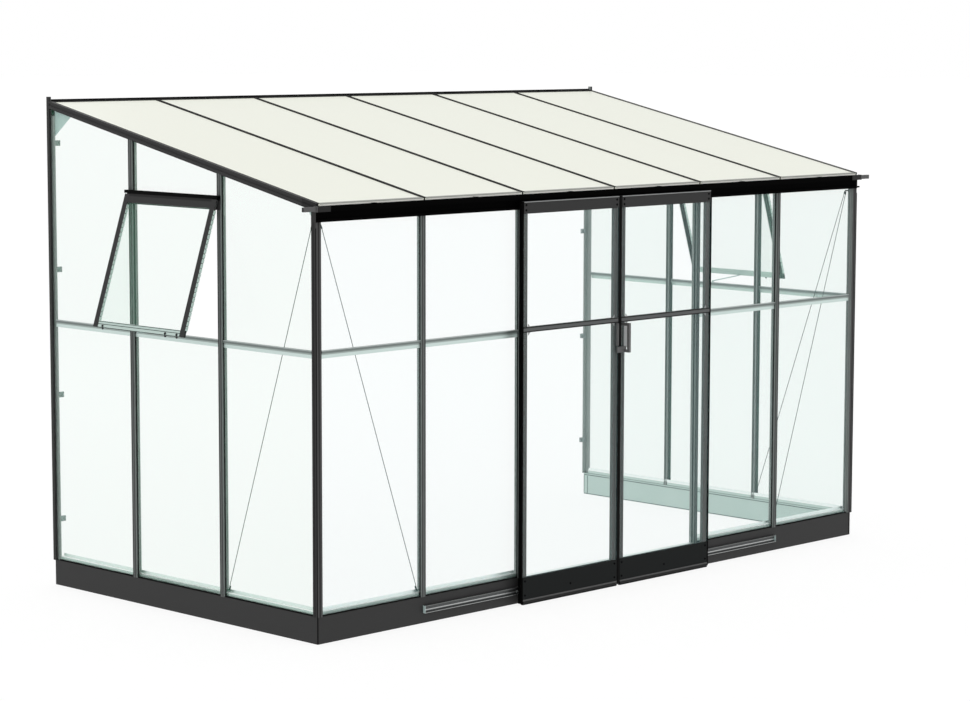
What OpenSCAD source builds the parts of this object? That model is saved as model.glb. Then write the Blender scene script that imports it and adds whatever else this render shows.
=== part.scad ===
// Lean-to glass greenhouse: glazed front and two glazed gables under a single sloping roof,
// two sliding doors in the middle of the front, one top-hung vent propped open in each gable.
// Millimetres. X runs along the front, Y from the front to the house wall, Z up from the ground.

/* [Plan] */
// Distance between neighbouring glazing bars
pitch = 627; // [560:1:700]
// Bays along the front, the two middle ones are the doorway
bays_front = 6; // [6:2:10]
// Bays along each gable, the second one holds the vent
bays_side = 3; // [3:1:5]
// Distance of the house wall in front of the last grid line
wall_inset = 4; // [0:1:30]
// Outer face of posts, caps and fascia outside the grid line
face_out = 16; // [14:1:20]

/* [Heights] */
// Height of the steel base
base_h = 120; // [100:5:180]
// Height of the joint between lower and upper panes
mid_z = 1272; // [1150:1:1320]
// Underside of the eave beam
eave_z = 1835; // [1780:5:2000]
// Roof surface over the eave, measured from the underside of the eave beam
roof_rise_front = 80; // [76:1:96]
// Rise of the roof surface from the front face to the house wall
roof_rise = 401; // [300:1:560]

/* [Base] */
// Thickness of the folded base sheet
base_t = 3; // [2:0.5:5]
// Outer face of the base outside the grid line
base_out = 9; // [6:1:14]
// Inner face of the base inside the grid line
base_in = 21; // [21:1:26]
// Gap between the base and the house wall
base_gap = 7; // [0:1:12]

/* [Glazing] */
// Thickness of the glass
glass_t = 4; // [3:0.5:5]
// Outer face of the glass outside the grid line
glass_out = 2; // [1.5:0.5:3]
// Gap between a pane edge and the web beside it
pane_clear = 2; // [1:0.5:3]
// Depth by which a pane enters the groove above it
pane_lap = 11; // [8:1:13]
// Width of the outer cap of a bar
cap_w = 26; // [22:1:30]
// Bevel on the outer edges of a cap
cap_bevel = 3; // [1:0.5:4]
// Width of the groove along the face of a cap
cap_groove_w = 8; // [4:1:12]
// Depth of that groove
cap_groove_d = 2; // [1:0.5:4]
// Width of the web between two panes
web_w = 6; // [4:0.5:8]
// Width of the flange behind the panes
flange_w = 24; // [20:1:28]
// Thickness of the flange behind the panes
flange_t = 3; // [2:0.5:4]
// Thickness of the stem of a bar
stem_w = 4; // [3:0.5:6]
// Depth of the stem of a bar
stem_d = 4; // [3:0.5:5]
// Width of the bolt channel on the inner edge of a bar
channel_w = 16; // [14:1:20]
// Depth of the bolt channel
channel_d = 12; // [10:1:14]
// Wall thickness of the bolt channel
channel_t = 3; // [2:0.5:3]
// Width of the slot of the bolt channel
slot_w = 7; // [5:0.5:8]
// Height of the sill strip behind the glass
sill_h = 22; // [16:1:30]
// Depth of the sill strip behind the glass
sill_d = 16; // [12:1:18]
// Height of the strip that joins a lower and an upper pane
strip_h = 18; // [12:1:24]
// Thickness of the sides of that strip
strip_t = 2; // [1.5:0.5:3]
// Thickness of the web of that strip
strip_web = 3; // [2:0.5:4]
// Depth of the outer apron of that strip below the joint
strip_low = 25; // [18:1:32]
// Height of the rib along the top of the outer side
strip_rib_h = 12; // [8:1:16]
// Thickness of that rib
strip_rib_t = 4; // [2:0.5:6]

/* [Posts] */
// Width of the corner posts
post_w = 30; // [28:1:32]
// Width of the groove along each face of the corner posts
post_groove_w = 8; // [4:1:12]
// Depth of that groove
post_groove_d = 1.5; // [1:0.25:2]
// Wall thickness of the corner posts
post_t = 3; // [2:0.5:4]
// Depth of the glass groove of a post
post_lip = 10; // [8:1:12]
// Depth of the outer lip of a wall post
wall_post_lip = 18; // [16:1:28]
// Depth of the web of a wall post
wall_post_web = 10; // [8:1:14]
// Depth of the inner flange of a wall post
wall_post_d = 36; // [32:1:50]
// Thickness of the inner flange of a wall post
wall_post_t = 4; // [3:0.5:4]
// Width of the leg of a wall post that lies on the wall
leg_w = 22; // [18:1:40]
// Thickness of that leg
leg_t = 6; // [4:0.5:8]
// Height by which the wall posts stand over the wall plate
post_over = 12; // [4:1:16]

/* [Wall brackets] */
// Height of the lowest bracket over the base
bracket_low = 195; // [120:5:260]
// Distance of the highest bracket below the wall plate
bracket_top = 130; // [100:5:200]
// Brackets on each wall post
bracket_count = 4; // [3:1:4]
// Reach of a bracket beyond the leg
bracket_w = 26; // [22:1:34]
// Height of a bracket
bracket_h = 26; // [22:1:34]
// Lap of a bracket on the front of the leg
bracket_lap = 14; // [10:1:18]
// Thickness of that lap
bracket_t = 4; // [3:0.5:5]
// Diameter of the screw hole of a bracket
bracket_bore = 8; // [6:0.5:10]

/* [Eave] */
// Inner face of the eave beam inside the grid line
eave_in = 21; // [18:1:26]
// Wall thickness of the eave beam
eave_t = 4; // [3:0.5:5]
// Depth of the glass groove under the eave beam
eave_groove = 15; // [15:1:20]
// Height of the fascia under the gutter
fascia_h = 45; // [42:1:56]
// Thickness of the fascia
fascia_t = 3; // [2.5:0.5:5]
// Reach of the gutter in front of the posts
gutter_d = 20; // [18:1:24]
// Reach of the gutter beyond the posts
gutter_over = 8; // [0:1:20]
// Height of the front of the gutter
gutter_h = 26; // [24:1:34]
// Height of the back of the gutter
gutter_back_h = 14; // [10:1:16]
// Wall thickness of the gutter
gutter_t = 3; // [2:0.5:4]
// Reach of an outlet beyond the end of the gutter
outlet_l = 74; // [60:1:120]
// Thickness of the end plate of an outlet
outlet_plate_t = 4; // [3:0.5:6]
// Length of the sleeve of an outlet in front of the gutter
outlet_sleeve_l = 75; // [30:1:100]
// Thickness of that sleeve
outlet_sleeve_t = 2; // [1.5:0.5:3]
// Distance of the spigot from the edges of the end plate
outlet_inset = 3; // [2:0.5:5]
// Wall thickness of the spigot
outlet_t = 2.5; // [2:0.5:4]

/* [Roof] */
// Height of the groove that holds the roof panes, measured upright
sheet_t = 10; // [8:0.5:12]
// Gap between a roof pane and the seats and caps that hold it
sheet_clear = 0.2; // [0.1:0.1:0.4]
// Overhang of the roof panes in front of the eave beam
sheet_over = 3; // [2:0.5:8]
// Gap between the roof panes and the house wall
sheet_back = 12; // [10:1:16]
// Height of a rafter below the roof surface
rafter_h = 31; // [29:1:40]
// Distance of the groove along the rafter face below the roof plane
rafter_groove_low = 7; // [4:1:10]
// Height of that groove
rafter_groove_h = 10; // [6:1:14]
// Depth of that groove
rafter_groove_d = 3; // [2:0.5:5]
// Height of the caps over the roof surface
roof_cap_h = 2.5; // [2:0.5:6]
// Width of the lip of a rafter over the roof pane
rafter_lip = 8; // [6:1:16]
// Thickness of the seat under the roof panes
seat_t = 4; // [3:0.5:5]
// Width of the cap of a roof bar
roof_cap_w = 24; // [14:1:28]
// Height of the stem of a roof bar
roof_stem_h = 22; // [16:1:30]
// Width of the foot of a roof bar
roof_foot_w = 14; // [10:1:20]
// Thickness of the foot of a roof bar
roof_foot_t = 4; // [3:0.5:6]
// Thickness of the strip on the front edge of a roof pane
edge_t = 1.5; // [1:0.5:2]
// Lap of that strip over the roof pane
edge_lap = 12; // [8:1:16]
// Thickness of the wall plate
plate_t = 8; // [6:0.5:10]
// Height of the wall plate below the roof surface
plate_drop = 70; // [60:1:90]
// Height of the wall plate over the roof surface
plate_up = 7; // [6:1:14]
// Depth of the seat of the wall plate under the roof panes
plate_seat = 35; // [30:1:40]
// Depth of the lip of the wall plate over the roof panes
plate_lip = 32; // [28:1:38]
// Thickness of the corner gussets
gusset_t = 3; // [2:0.5:4]
// Length of the corner gussets along the post and the rafter
gusset_l = 130; // [100:1:160]
// Height of the point of a gusset that lies on the rafter
gusset_point = 14; // [10:1:15]

/* [Brace wires] */
// Diameter of the brace wires
wire_d = 3; // [2:0.5:4]
// Diameter of the anchors at the wire ends
anchor_d = 5; // [4:0.5:5]
// Length of the upper anchors
upper_anchor_l = 24; // [16:1:30]
// Length of the lower anchors
lower_anchor_l = 10; // [8:1:20]
// Centre of the wires inside the grid line
wire_in = 11.5; // [11.5:0.25:12]
// Upper anchors below the eave beam
wire_top = 12; // [10:1:60]
// Lower anchors over the base
wire_low = 30; // [28:1:60]

/* [Vents] */
// Opening angle of the vents
vent_angle = 18; // [10:0.1:30]
// Header height over the eave beam underside
header_low = 24; // [20:1:30]
// Height of the header
header_h = 64; // [54:1:66]
// Thickness of the header plate
header_t = 3; // [2:0.5:6]
// Lap of the header beyond the grid lines beside it
vent_lap = 16; // [14:1:20]
// Lap of the sash beyond the grid lines beside it
sash_side_lap = 10; // [8:1:14]
// Reach of the header hood
hood_d = 16; // [16:1:26]
// Thickness of the header hood
hood_t = 5; // [4:0.5:6]
// Height of the front lip of the hood
hood_lip = 14; // [10:1:15]
// Thickness of that lip
hood_lip_t = 3; // [2:0.5:3.5]
// Height of the ledge under the fixed pane over the vent
ledge_up = 20; // [18:1:24]
// Thickness of that ledge
ledge_t = 5; // [4:0.5:8]
// Height of the lip behind that pane
ledge_lip = 10; // [8:1:14]
// Diameter of the hinge bead
hinge_d = 8; // [7:0.5:9]
// Thickness of the sash
sash_t = 10; // [9:1:12]
// Width of the sash stiles
sash_w = 32; // [24:1:40]
// Height of the sash top rail
sash_top_h = 40; // [24:1:46]
// Gap between the hinge line and the sash
sash_drop = 10; // [8:1:12]
// Height of the sash bottom rail
sash_low_h = 30; // [14:1:36]
// Thickness of the sash bottom rail
sash_low_t = 8; // [6:1:9]
// Lap of the closed sash over the strip under it
sash_over = 4; // [2:1:8]
// Width of the stay that props a vent
stay_w = 8; // [6:1:24]
// Thickness of the stay
stay_t = 4; // [3:0.5:8]
// Length of the foot of the stay on the sill strip
stay_foot = 6; // [4:1:8]

/* [Doors] */
// Gap between the door track and the back of the doors
door_clear = 5; // [5:0.5:12]
// Thickness of the doors
door_d = 22; // [20:1:30]
// Half of the gap between the two closed doors
meet_gap = 2.5; // [2.5:0.5:5]
// Width of the seal on the meeting stile
meet_seal_w = 9.5; // [6:0.5:12]
// Width of the door stiles
stile_w = 28; // [18:1:32]
// Lap of the closed door over the jamb beside it
door_lap = 33; // [24:1:40]
// Width of the seal on the outer stile
side_seal_w = 12; // [10:1:26]
// Thickness of the seals
seal_t = 18; // [8:1:20]
// Height of the door bottom over the ground
door_low = 8; // [6:1:16]
// Height of the bottom rail
low_rail_h = 10; // [8:1:16]
// Reach of the bottom rail in front of the door
low_lip = 4; // [2:1:8]
// Height of the kick panel
kick_h = 112; // [90:1:140]
// Thickness of the front layer with the glass and the kick panel
door_skin = 5; // [5:0.5:8]
// Height of the door mid rail
door_mid_h = 25; // [20:1:34]
// Height of the mid rail over the joint of the wall panes
door_mid_up = 0; // [0:1:20]
// Thickness of the mid and bottom rails
door_rail_t = 18; // [14:1:20]
// Height of the head rail
head_h = 56; // [50:1:70]
// Gap between the gutter and the top of the doors
door_under = 6; // [5:1:8]
// Travel of a door
door_travel = 600; // [500:5:610]

/* [Door running gear] */
// Height of the track ledge over the eave beam underside
track_up = 5; // [4:0.5:7]
// Thickness of the track ledge
track_t = 3; // [2.5:0.5:4]
// Reach of the track ledge
track_d = 15; // [14:1:18]
// Height of the lip on the track ledge
track_lip = 5; // [4:0.5:6]
// Diameter of the rollers
roller_d = 24; // [22:1:26]
// Width of the rollers
roller_w = 8; // [6:0.5:9]
// Diameter of the roller axles
axle_d = 8; // [6:0.5:9]
// Distance of the rollers from the stiles
roller_in = 90; // [60:1:120]
// Running clearance
run_clear = 0.3; // [0.2:0.1:0.5]
// Height of the guide rail on the base
guide_z = 46; // [40:1:50]
// Height of the guide rail section
guide_h = 34; // [28:1:40]
// Depth of the guide rail section
guide_d = 15; // [12:1:18]
// Wall thickness of the guide rail
guide_t = 3; // [2:0.5:3.5]
// Gap between a guide shoe and the guide rail
shoe_clear = 2; // [1:0.5:3]
// Length of a guide shoe
shoe_l = 60; // [40:1:90]

/* [Handle] */
// Gap between the handle and the mid rail over it
handle_drop = 2; // [2:1:60]
// Length of the handle
handle_l = 140; // [110:1:150]
// Distance of the handle from the edge of the meeting stile
handle_in = 10; // [8:1:14]
// Reach of the handle in front of the door
handle_d = 45; // [40:1:60]
// Thickness of the handle
handle_t = 13; // [10:1:16]
// Height of the latch arm under the handle
latch_h = 28; // [20:1:36]
// Thickness of the latch arm
latch_t = 10; // [6:1:14]
// Gap between the latch arm and the other door
latch_clear = 6; // [6:0.5:10]
// Reach of the pull on the other door
pull_d = 18; // [12:1:24]
// Thickness of the pull
pull_t = 3; // [2:0.5:5]

/* [Hidden] */
$fn = 64;
overrun = 1;
half = 1 / 2;

gutter_out = face_out + gutter_d;
track_out = face_out + fascia_t + track_d;
door_back = track_out + door_clear;
door_front = door_back + door_d;
handle_front = door_front + handle_d;
side_depth = bays_side * pitch - wall_inset;
front_y = (handle_front - side_depth) / 2;
wall_y = front_y + side_depth;
side_x = -bays_front * pitch / 2;
end_x = side_x - face_out;
gutter_x = end_x - gutter_over;
base_x = side_x - base_out;
base_end = wall_y - base_gap;
post_in = post_w - face_out;
middle_bar = bays_front / 2;

glass_in = glass_out - glass_t;
pane_edge = web_w / 2 + pane_clear;
flange_in = glass_in - flange_t;
stem_in = flange_in - stem_d;
channel_in = stem_in - channel_d;

roof_front_z = eave_z + roof_rise_front;
roof_slope = roof_rise / (side_depth + face_out);
roof_back_z = roof_front_z + roof_rise;
gutter_z = eave_z + fascia_h;
gutter_top = gutter_z + gutter_h;
plate_z = roof_back_z - plate_drop;
rafter_in = glass_in - wall_post_t;
bracket_pitch = (plate_z - base_h - bracket_low - bracket_top) / (bracket_count - 1);

header_z = eave_z + header_low;
header_top = header_z + header_h;
hinge_z = header_top - hood_t - hinge_d / 2;
hinge_out = face_out + header_t + hood_d / 2;
sash_l = hinge_z - mid_z - strip_h / 2 + sash_over;

track_z = eave_z + track_up + track_t;
axle_z = track_z + run_clear + roller_d / 2;
roller_out = face_out + fascia_t + (track_d - track_t) / 2;

stile_in = meet_gap + meet_seal_w;
glass_left = stile_in + stile_w;
door_edge = pitch + door_lap;
glass_right = door_edge - stile_w;
door_top = gutter_z - door_under;
kick_z = door_low + low_rail_h;
kick_top = kick_z + kick_h;
door_mid_z = mid_z + door_mid_up;
head_z = door_top - head_h;
handle_z = door_mid_z - handle_drop - handle_l;
door_mid_out = (door_back + door_front) / 2;
door_skin_out = door_front - door_skin;
door_pane_out = door_skin_out + glass_t;

/* [Part] */
// Which piece to draw

function bar_x(i) = side_x + i * pitch;
function bar_y(j) = front_y + j * pitch;
function fy(out) = front_y - out;
function gx(out) = side_x - out;
function roof(y) = roof_front_z + roof_slope * (y - fy(face_out));
function is_bar(i) = i != middle_bar;
function is_glazed(i) = i != middle_bar && i != middle_bar - 1;
function about(centre, width) = [centre - width / 2, centre + width / 2];

// Box between three pairs of planes
module span(x, y, z) {
    translate([x[0], y[0], z[0]])
        cube([x[1] - x[0], y[1] - y[0], z[1] - z[0]]);
}

// Rectangle between two pairs of lines
module patch(a, b) {
    translate([a[0], b[0]])
        square([a[1] - a[0], b[1] - b[0]]);
}

// Section drawn in Y and Z, carried along X
module along_x(x) {
    translate([x[0], 0, 0])
        rotate([90, 0, 90])
            linear_extrude(x[1] - x[0])
                children();
}

// Section drawn in X and Y, carried upwards
module upward(z) {
    translate([0, 0, z[0]])
        linear_extrude(z[1] - z[0])
            children();
}

// Strip that follows the roof surface between two heights above it
module sloped(y, w) {
    polygon([[y[0], roof(y[0]) + w[0]], [y[1], roof(y[1]) + w[0]],
             [y[1], roof(y[1]) + w[1]], [y[0], roof(y[0]) + w[1]]]);
}

// Upright shape whose top follows the roof surface
module under_roof(y, z, w) {
    polygon([[y[0], z], [y[1], z], [y[1], roof(y[1]) + w], [y[0], roof(y[0]) + w]]);
}

module both_sides() {
    children();
    mirror([1, 0, 0])
        children();
}

// Plan sections: X across the bar, Y inwards from the grid line
module bar_section() {
    patch(about(0, web_w), [-glass_out, -glass_in]);
    patch(about(0, flange_w), [-glass_in, -flange_in]);
    patch(about(0, stem_w), [-flange_in, -stem_in]);
    difference() {
        patch(about(0, channel_w), [-stem_in, -channel_in]);
        patch(about(0, channel_w - channel_t * 2), [channel_t - stem_in, -channel_in - channel_t]);
        patch(about(0, slot_w), [-channel_in - channel_t - overrun, -channel_in + overrun]);
    }
}

module cap_section() {
    side = cap_w / 2;
    difference() {
        polygon([[-side, -glass_out], [-side, cap_bevel - face_out], [cap_bevel - side, -face_out],
                 [side - cap_bevel, -face_out], [side, cap_bevel - face_out], [side, -glass_out]]);
        patch(about(0, cap_groove_w), [-face_out - overrun, cap_groove_d - face_out]);
    }
}

module corner_section() {
    lip = [post_in, post_in + post_lip];
    groove = [about(post_w / 2 - face_out, post_groove_w), [-face_out - overrun, post_groove_d - face_out]];
    difference() {
        patch([-face_out, post_in], [-face_out, post_in]);
        patch([post_t - face_out, post_in - post_t], [post_t - face_out, post_in - post_t]);
        patch(groove[0], groove[1]);
        patch(groove[1], groove[0]);
    }
    patch(lip, [-glass_out - post_t, -glass_out]);
    patch(lip, [-glass_in, -flange_in]);
    patch([-glass_out - post_t, -glass_out], lip);
    patch([-glass_in, -flange_in], lip);
}

module wall_post_section() {
    patch([gx(glass_out), gx(glass_in)], [wall_y - wall_post_web, wall_y]);
    patch([gx(glass_in), gx(rafter_in)], [wall_y - wall_post_d, wall_y]);
    patch([gx(rafter_in), gx(rafter_in) + leg_w], [wall_y - leg_t, wall_y]);
}

// Base of folded sheet, open underneath and mitred at the front corners
module base_side(plan, inner) {
    difference() {
        upward([0, base_h])
            polygon(plan);
        upward([-overrun, base_h - base_t])
            polygon(inner);
    }
}

module base_front() {
    color("dimgray")
        base_side([[base_x, fy(base_out)], [-base_x, fy(base_out)],
                   [-side_x - base_in, fy(-base_in)], [side_x + base_in, fy(-base_in)]],
                  [[base_x + base_t * 2, fy(base_out - base_t)],
                   [-base_x - base_t * 2, fy(base_out - base_t)],
                   [-side_x - base_in, fy(base_t - base_in)], [side_x + base_in, fy(base_t - base_in)]]);
}

module base_gable() {
    base_side([[base_x, fy(base_out)], [gx(-base_in), fy(-base_in)],
               [gx(-base_in), base_end], [base_x, base_end]],
              [[gx(base_out - base_t), fy(base_out - base_t * 2)], [gx(base_t - base_in), fy(-base_in)],
               [gx(base_t - base_in), base_end + overrun], [gx(base_out - base_t), base_end + overrun]]);
}

module base_left() {
    color("dimgray")
        base_gable();
}

module base_right() {
    color("dimgray")
        mirror([1, 0, 0])
            base_gable();
}

module corner_posts() {
    color("dimgray")
        both_sides() {
            translate([side_x, front_y, 0])
                upward([base_h, eave_z])
                    corner_section();
            along_x([end_x, gx(glass_out)])
                under_roof([fy(face_out), fy(-post_in)], eave_z, -rafter_h);
        }
}

module wall_posts() {
    color("dimgray")
        both_sides() {
            upward([base_h, plate_z])
                wall_post_section();
            span([end_x, gx(glass_out)], [wall_y - wall_post_lip, wall_y],
                 [base_h, roof_back_z + plate_up + post_over]);
        }
}

module wall_brackets() {
    leg_x = gx(rafter_in) + leg_w;
    color("silver")
        both_sides()
            for (k = [0 : bracket_count - 1])
                difference() {
                    union() {
                        span([leg_x, leg_x + bracket_w], [wall_y - leg_t - bracket_t, wall_y],
                             about(base_h + bracket_low + k * bracket_pitch, bracket_h));
                        span([leg_x - bracket_lap, leg_x], [wall_y - leg_t - bracket_t, wall_y - leg_t],
                             about(base_h + bracket_low + k * bracket_pitch, bracket_h));
                    }
                    translate([leg_x + bracket_w / 2, wall_y + overrun,
                               base_h + bracket_low + k * bracket_pitch])
                        rotate([90, 0, 0])
                            cylinder(h = leg_t + bracket_t + overrun * 2, d = bracket_bore);
                }
}

module front_bars() {
    color("gray")
        for (i = [1 : bays_front - 1])
            if (is_bar(i))
                translate([bar_x(i), front_y, 0])
                    upward([base_h, eave_z])
                        bar_section();
}

module front_bar_caps() {
    color("dimgray")
        for (i = [1 : bays_front - 1])
            if (is_bar(i))
                translate([bar_x(i), front_y, 0])
                    upward([base_h, eave_z])
                        cap_section();
}

// Bar of the gable, cut off under the rafter
module gable_bar(j) {
    intersection() {
        translate([side_x, bar_y(j), 0])
            rotate([0, 0, -90])
                upward([base_h, roof_back_z])
                    children();
        along_x([gx(face_out + overrun), gx(channel_in - overrun)])
            under_roof(about(bar_y(j), cap_w + overrun * 2), base_h, -rafter_h);
    }
}

module gable_bars() {
    color("gray")
        both_sides()
            for (j = [1 : bays_side - 1])
                gable_bar(j)
                    bar_section();
}

module gable_bar_caps() {
    color("dimgray")
        both_sides()
            for (j = [1 : bays_side - 1])
                gable_bar(j)
                    cap_section();
}

// Clear width of a bay between the flanges of the bars beside it
function bay_start(i) = i == 0 ? post_in + post_lip : max(flange_w, cap_w) / 2;

function front_bay(i) = [bar_x(i) + bay_start(i), bar_x(i + 1) - bay_start(bays_front - 1 - i)];

function gable_bay(j) = [bar_y(j) + bay_start(j),
                         j == bays_side - 1 ? wall_y - wall_post_d : bar_y(j + 1) - bay_start(1)];

module front_sills() {
    color("silver")
        for (i = [0 : bays_front - 1])
            if (is_glazed(i))
                span(front_bay(i), [fy(glass_in), fy(glass_in - sill_d)], [base_h, base_h + sill_h]);
}

module gable_sills() {
    color("silver")
        both_sides()
            for (j = [0 : bays_side - 1])
                span([gx(glass_in), gx(glass_in - sill_d)], gable_bay(j), [base_h, base_h + sill_h]);
}

// Section of the strip that joins two panes, drawn across the wall and upwards
module strip_section() {
    top = mid_z + strip_h / 2;
    patch([-glass_out - strip_t, -glass_out], [mid_z - strip_low, top]);
    patch([-glass_out - strip_t - strip_rib_t, -glass_out - strip_t], [top - strip_rib_h, top]);
    patch([-glass_out, -glass_in], about(mid_z, strip_web));
    patch([-glass_in, strip_t - glass_in], about(mid_z, strip_h));
}

module front_mid_strips() {
    color("lightsteelblue")
        for (i = [0 : bays_front - 1])
            if (is_glazed(i))
                along_x(front_bay(i))
                    translate([front_y, 0])
                        strip_section();
}

module gable_mid_strips() {
    color("lightsteelblue")
        both_sides()
            for (j = [0 : bays_side - 1])
                translate([side_x, gable_bay(j)[1], 0])
                    rotate([90, 0, 0])
                        linear_extrude(gable_bay(j)[1] - gable_bay(j)[0])
                            strip_section();
}

module eave_beam() {
    front = fy(face_out);
    back = fy(-eave_in);
    groove_z = eave_z + eave_groove;
    color("dimgray")
        along_x([gx(flange_in), -gx(flange_in)])
            difference() {
                under_roof([front, back], eave_z, -sheet_t);
                patch([fy(glass_out), fy(glass_in)], [eave_z - overrun, groove_z]);
                under_roof([front + eave_t, back - eave_t], groove_z + eave_t, -sheet_t - eave_t);
            }
}

module gutter() {
    color([0.05, 0.05, 0.05])
        along_x([gutter_x, -gutter_x]) {
            patch([fy(gutter_out), fy(face_out)], [gutter_z, gutter_z + gutter_t]);
            patch([fy(gutter_out), fy(gutter_out - gutter_t)], [gutter_z, gutter_top]);
            patch([fy(face_out + gutter_t), fy(face_out)], [gutter_z, gutter_z + gutter_back_h]);
        }
}

// Section of the spigot, drawn in Y and Z and drawn in by an inset
module spigot_section(inset) {
    patch([fy(gutter_out - inset), fy(face_out + inset)], [gutter_z + inset, gutter_top - inset]);
}

module gutter_outlets() {
    plate_x = gutter_x - outlet_plate_t;
    color("gray")
        both_sides()
            difference() {
                union() {
                    along_x([plate_x, gutter_x])
                        patch([fy(gutter_out + outlet_sleeve_t), fy(face_out)], [gutter_z, gutter_top]);
                    along_x([gutter_x, gutter_x + outlet_sleeve_l])
                        patch([fy(gutter_out + outlet_sleeve_t), fy(gutter_out)], [gutter_z, gutter_top]);
                    along_x([gutter_x - outlet_l, plate_x])
                        spigot_section(outlet_inset);
                }
                along_x([gutter_x - outlet_l - overrun, gutter_x + overrun])
                    spigot_section(outlet_inset + outlet_t);
            }
}

module door_track() {
    front = face_out + fascia_t;
    color([0.05, 0.05, 0.05])
        along_x([end_x, -end_x]) {
            patch([fy(front), fy(face_out)], [eave_z, gutter_z]);
            patch([fy(track_out), fy(front)], [track_z - track_t, track_z]);
            patch([fy(track_out), fy(track_out - track_t)], [track_z, track_z + track_lip]);
        }
}

module door_guide_rail() {
    color("silver")
        along_x([-pitch * 2, pitch * 2])
            difference() {
                patch([fy(base_out + guide_d), fy(base_out)], [guide_z, guide_z + guide_h]);
                patch([fy(base_out + guide_d + overrun), fy(base_out + guide_t)],
                      [guide_z + guide_t, guide_z + guide_h - guide_t]);
            }
}

module rafters() {
    front = fy(face_out);
    back = wall_y - wall_post_lip;
    behind_eave = fy(-eave_in);
    color("dimgray")
        both_sides() {
            difference() {
                along_x([end_x, gx(glass_out)])
                    sloped([front, back], [-rafter_h, roof_cap_h]);
                along_x([end_x - overrun, end_x + rafter_groove_d])
                    sloped([front - overrun, back + overrun],
                           [-rafter_groove_low - rafter_groove_h, -rafter_groove_low]);
            }
            along_x([gx(glass_out), gx(glass_out - rafter_lip)])
                sloped([front, wall_y - plate_lip], [0, roof_cap_h]);
            along_x([gx(glass_out), gx(-eave_in)])
                sloped([behind_eave, wall_y - plate_seat], [-sheet_t - seat_t, -sheet_t]);
            along_x([gx(glass_in), gx(rafter_in)])
                sloped([behind_eave, wall_y - plate_seat], [-rafter_h, -sheet_t - seat_t]);
        }
}

module roof_bars() {
    front = fy(face_out + sheet_over);
    under = [fy(-eave_in), wall_y - plate_seat];
    flange_w0 = -sheet_t - flange_t;
    stem_w0 = flange_w0 - roof_stem_h;
    color("dimgray")
        for (i = [1 : bays_front - 1]) {
            along_x(about(bar_x(i), roof_cap_w))
                sloped([front, wall_y - plate_lip], [0, roof_cap_h]);
            along_x(about(bar_x(i), web_w))
                sloped([front, wall_y - plate_t], [-sheet_t, 0]);
            along_x(about(bar_x(i), flange_w))
                sloped(under, [flange_w0, -sheet_t]);
            along_x(about(bar_x(i), stem_w))
                sloped(under, [stem_w0, flange_w0]);
            along_x(about(bar_x(i), roof_foot_w))
                sloped(under, [stem_w0 - roof_foot_t, stem_w0]);
        }
}

module wall_plate() {
    color("dimgray")
        along_x([gx(glass_out), -gx(glass_out)]) {
            patch([wall_y - plate_t, wall_y], [plate_z, roof_back_z + plate_up]);
            sloped([wall_y - plate_seat, wall_y - plate_t], [-sheet_t - seat_t, -sheet_t]);
            sloped([wall_y - plate_lip, wall_y - plate_t], [0, roof_cap_h]);
        }
}

// Edges of a roof pane or of the strip on its front edge
function roof_start(i, edge) = i == 0 ? gx(glass_out - pane_clear) : bar_x(i) + edge;

function roof_bay(i, edge) = [roof_start(i, edge), -roof_start(bays_front - 1 - i, edge)];

module roof_panes() {
    color("ivory")
        for (i = [0 : bays_front - 1])
            along_x(roof_bay(i, pane_edge))
                sloped([fy(face_out + sheet_over), wall_y - sheet_back],
                       [sheet_clear - sheet_t, -sheet_clear]);
}

function edge_start(i) = i == 0 ? gx(glass_out - rafter_lip) : bar_x(i) + roof_cap_w / 2;

module roof_edge_strips() {
    front = fy(face_out + sheet_over);
    color("silver")
        for (i = [0 : bays_front - 1])
            along_x([edge_start(i), -edge_start(bays_front - 1 - i)]) {
                sloped([front - edge_t, front], [-sheet_t - edge_t, edge_t]);
                sloped([front, front + edge_lap], [0, edge_t]);
                sloped([front, fy(face_out)], [-sheet_t - edge_t, -sheet_t]);
            }
}

module gusset_plates() {
    back = wall_y - leg_t;
    tip = wall_y - plate_seat - gusset_l;
    rise = plate_z - gusset_l + gusset_point;
    color("lightgray")
        both_sides()
            along_x([gx(rafter_in), gx(rafter_in - gusset_t)])
                polygon([[back, rise], [back, plate_z], [wall_y - plate_seat, plate_z],
                         [wall_y - plate_seat, roof(wall_y - plate_seat) - sheet_t - seat_t],
                         [tip, roof(tip) - rafter_h + gusset_point], [tip, roof(tip) - rafter_h]]);
}

function pane_start(i) = i == 0 ? post_in + pane_clear : pane_edge;

module front_panes() {
    color([0.8, 0.93, 0.93, 0.4])
        for (i = [0 : bays_front - 1])
            if (is_glazed(i)) {
                x = [bar_x(i) + pane_start(i), bar_x(i + 1) - pane_start(bays_front - 1 - i)];
                span(x, [fy(glass_out), fy(glass_in)], [base_h, mid_z - strip_web / 2]);
                span(x, [fy(glass_out), fy(glass_in)], [mid_z + strip_web / 2, eave_z + pane_lap]);
            }
}

module gable_panes() {
    vent_bay = 1;
    top = pane_lap - rafter_h;
    color([0.8, 0.93, 0.93, 0.4])
        both_sides()
            for (j = [0 : bays_side - 1]) {
                back = j == bays_side - 1 ? wall_y - wall_post_web - pane_clear : bar_y(j + 1) - pane_edge;
                y = [bar_y(j) + pane_start(j), back];
                along_x([gx(glass_out), gx(glass_in)]) {
                    patch(y, [base_h, mid_z - strip_web / 2]);
                    under_roof(y, j == vent_bay ? header_z + ledge_up + ledge_t : mid_z + strip_web / 2, top);
                }
            }
}

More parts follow.
